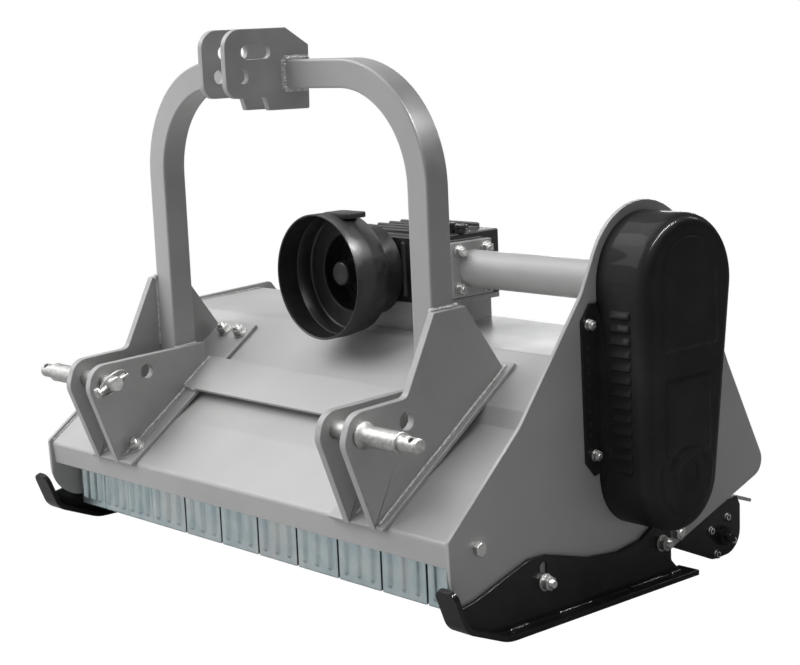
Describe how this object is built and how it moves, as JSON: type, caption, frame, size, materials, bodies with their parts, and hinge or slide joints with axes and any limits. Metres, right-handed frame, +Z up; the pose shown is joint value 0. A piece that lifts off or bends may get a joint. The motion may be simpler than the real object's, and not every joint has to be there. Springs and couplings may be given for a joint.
{
  "type": "flail mower",
  "caption": "Tractor-mounted flail mower with a bent deck, tubular three-point mast, side belt drive, hanging front flaps, hammer rotor, skids and rear roller.",
  "frame": {"origin": "middle of the machine's footprint, on the ground under the skid soles and the roller", "axes": "+X across the machine towards the belt cover, +Y backwards from the tractor towards the roller, +Z up"},
  "size_m": [1.058, 0.6853, 0.785],
  "materials": {
    "light_grey_paint": "semi-gloss paint",
    "side_grey_paint": "semi-gloss paint",
    "bracket_paint": "semi-gloss paint",
    "black_paint": "semi-gloss black paint",
    "black_plastic": "moulded black plastic",
    "cover_black": "gloss black powder coat",
    "zinc": "passivated zinc sheet",
    "plated": "zinc-plated fasteners and pins",
    "steel": "turned steel",
    "cast": "painted casting",
    "forged": "forged steel",
    "rubber": "belt rubber"
  },
  "bodies": {
    "chassis": {"deck_shell": "light_grey_paint", "left_side_plate": "side_grey_paint", "right_side_plate": "side_grey_paint", "flap_rod": "plated", "left_hitch_bracket": "bracket_paint", "right_hitch_bracket": "bracket_paint", "hitch_crossbar": "light_grey_paint", "left_mast_tube": "light_grey_paint", "right_mast_tube": "light_grey_paint", "left_link_plate": "bracket_paint", "right_link_plate": "bracket_paint", "left_hitch_pin": "plated", "right_hitch_pin": "plated", "lynch_pin": "plated", "hitch_bolts": "plated", "gearbox_housing": "cast", "gearbox_stand": "bracket_paint", "gearbox_plugs": "cast", "gearbox_bearings": "steel", "pto_guard": "black_plastic", "drive_tube": "light_grey_paint", "drive_belts": "rubber", "belt_cover": "cover_black", "cover_bracket": "black_paint", "cover_bolts": "plated", "left_rotor_bearing": "cast", "right_rotor_bearing": "cast", "skid_bolts": "plated"},
    "rotor": {"rotor": "forged", "lower_pulley": "cast"},
    "cross_shaft": {"cross_shaft": "steel", "upper_pulley": "cast"},
    "input_shaft": {"input_shaft": "steel"},
    "roller_frame": {"left_roller_arm": "black_paint", "right_roller_arm": "black_paint", "roller_crossbar": "light_grey_paint"},
    "roller": {"rear_roller": "black_paint"},
    "left_skid": {"left_skid": "black_paint"},
    "right_skid": {"right_skid": "black_paint"},
    "flap_01": {"flap_01": "zinc"},
    "flap_02": {"flap_02": "zinc"},
    "flap_03": {"flap_03": "zinc"},
    "flap_04": {"flap_04": "zinc"},
    "flap_05": {"flap_05": "zinc"},
    "flap_06": {"flap_06": "zinc"},
    "flap_07": {"flap_07": "zinc"},
    "flap_08": {"flap_08": "zinc"},
    "flap_09": {"flap_09": "zinc"},
    "flap_10": {"flap_10": "zinc"},
    "flap_11": {"flap_11": "zinc"},
    "hammer_01": {"hammer_01": "forged"},
    "hammer_02": {"hammer_02": "forged"},
    "hammer_03": {"hammer_03": "forged"},
    "hammer_04": {"hammer_04": "forged"},
    "hammer_05": {"hammer_05": "forged"},
    "hammer_06": {"hammer_06": "forged"},
    "hammer_07": {"hammer_07": "forged"},
    "hammer_08": {"hammer_08": "forged"}
  },
  "joints": [
    {"name": "rotor_spin", "type": "hinge", "parent": "chassis", "child": "rotor", "pos_m": [-0.019, 0.06938, 0.175], "axis": [1, 0, 0], "continuous": true},
    {"name": "cross_shaft_spin", "type": "hinge", "parent": "chassis", "child": "cross_shaft", "pos_m": [-0.019, 0.08638, 0.421], "axis": [1, 0, 0], "continuous": true},
    {"name": "input_shaft_spin", "type": "hinge", "parent": "chassis", "child": "input_shaft", "pos_m": [-0.019, -0.00262, 0.421], "axis": [0, 1, 0], "continuous": true},
    {"name": "roller_height", "type": "hinge", "parent": "chassis", "child": "roller_frame", "pos_m": [-0.019, 0.14538, 0.062], "axis": [1, 0, 0], "range_deg": [-6, 0]},
    {"name": "roller_spin", "type": "hinge", "parent": "roller_frame", "child": "roller", "pos_m": [-0.019, 0.25538, 0.032], "axis": [1, 0, 0], "continuous": true},
    {"name": "left_skid_tilt", "type": "hinge", "parent": "chassis", "child": "left_skid", "pos_m": [-0.502, 0.10538, 0.057], "axis": [1, 0, 0], "range_deg": [0, 4.5]},
    {"name": "right_skid_tilt", "type": "hinge", "parent": "chassis", "child": "right_skid", "pos_m": [0.446, 0.10538, 0.057], "axis": [1, 0, 0], "range_deg": [0, 4.5]},
    {"name": "flap_01_swing", "type": "hinge", "parent": "chassis", "child": "flap_01", "pos_m": [-0.019, -0.24262, 0.126], "axis": [1, 0, 0], "range_deg": [-20, 75]},
    {"name": "flap_02_swing", "type": "hinge", "parent": "chassis", "child": "flap_02", "pos_m": [-0.019, -0.24262, 0.126], "axis": [1, 0, 0], "range_deg": [-20, 75]},
    {"name": "flap_03_swing", "type": "hinge", "parent": "chassis", "child": "flap_03", "pos_m": [-0.019, -0.24262, 0.126], "axis": [1, 0, 0], "range_deg": [-20, 75]},
    {"name": "flap_04_swing", "type": "hinge", "parent": "chassis", "child": "flap_04", "pos_m": [-0.019, -0.24262, 0.126], "axis": [1, 0, 0], "range_deg": [-20, 75]},
    {"name": "flap_05_swing", "type": "hinge", "parent": "chassis", "child": "flap_05", "pos_m": [-0.019, -0.24262, 0.126], "axis": [1, 0, 0], "range_deg": [-20, 75]},
    {"name": "flap_06_swing", "type": "hinge", "parent": "chassis", "child": "flap_06", "pos_m": [-0.019, -0.24262, 0.126], "axis": [1, 0, 0], "range_deg": [-20, 75]},
    {"name": "flap_07_swing", "type": "hinge", "parent": "chassis", "child": "flap_07", "pos_m": [-0.019, -0.24262, 0.126], "axis": [1, 0, 0], "range_deg": [-20, 75]},
    {"name": "flap_08_swing", "type": "hinge", "parent": "chassis", "child": "flap_08", "pos_m": [-0.019, -0.24262, 0.126], "axis": [1, 0, 0], "range_deg": [-20, 75]},
    {"name": "flap_09_swing", "type": "hinge", "parent": "chassis", "child": "flap_09", "pos_m": [-0.019, -0.24262, 0.126], "axis": [1, 0, 0], "range_deg": [-20, 75]},
    {"name": "flap_10_swing", "type": "hinge", "parent": "chassis", "child": "flap_10", "pos_m": [-0.019, -0.24262, 0.126], "axis": [1, 0, 0], "range_deg": [-20, 75]},
    {"name": "flap_11_swing", "type": "hinge", "parent": "chassis", "child": "flap_11", "pos_m": [-0.019, -0.24262, 0.126], "axis": [1, 0, 0], "range_deg": [-20, 75]},
    {"name": "hammer_01_swing", "type": "hinge", "parent": "rotor", "child": "hammer_01", "pos_m": [-0.019, -0.00862, 0.175], "axis": [1, 0, 0], "range_deg": [-150, 20]},
    {"name": "hammer_02_swing", "type": "hinge", "parent": "rotor", "child": "hammer_02", "pos_m": [-0.019, 0.14738, 0.175], "axis": [1, 0, 0], "range_deg": [-20, 150]},
    {"name": "hammer_03_swing", "type": "hinge", "parent": "rotor", "child": "hammer_03", "pos_m": [-0.019, -0.00862, 0.175], "axis": [1, 0, 0], "range_deg": [-150, 20]},
    {"name": "hammer_04_swing", "type": "hinge", "parent": "rotor", "child": "hammer_04", "pos_m": [-0.019, 0.14738, 0.175], "axis": [1, 0, 0], "range_deg": [-20, 150]},
    {"name": "hammer_05_swing", "type": "hinge", "parent": "rotor", "child": "hammer_05", "pos_m": [-0.019, -0.00862, 0.175], "axis": [1, 0, 0], "range_deg": [-150, 20]},
    {"name": "hammer_06_swing", "type": "hinge", "parent": "rotor", "child": "hammer_06", "pos_m": [-0.019, 0.14738, 0.175], "axis": [1, 0, 0], "range_deg": [-20, 150]},
    {"name": "hammer_07_swing", "type": "hinge", "parent": "rotor", "child": "hammer_07", "pos_m": [-0.019, -0.00862, 0.175], "axis": [1, 0, 0], "range_deg": [-150, 20]},
    {"name": "hammer_08_swing", "type": "hinge", "parent": "rotor", "child": "hammer_08", "pos_m": [-0.019, 0.14738, 0.175], "axis": [1, 0, 0], "range_deg": [-20, 150]}
  ],
  "couplings": [
    {"joint": "cross_shaft_spin", "follows": "rotor_spin", "ratio": 0.75},
    {"joint": "input_shaft_spin", "follows": "rotor_spin", "ratio": 0.25}
  ]
}
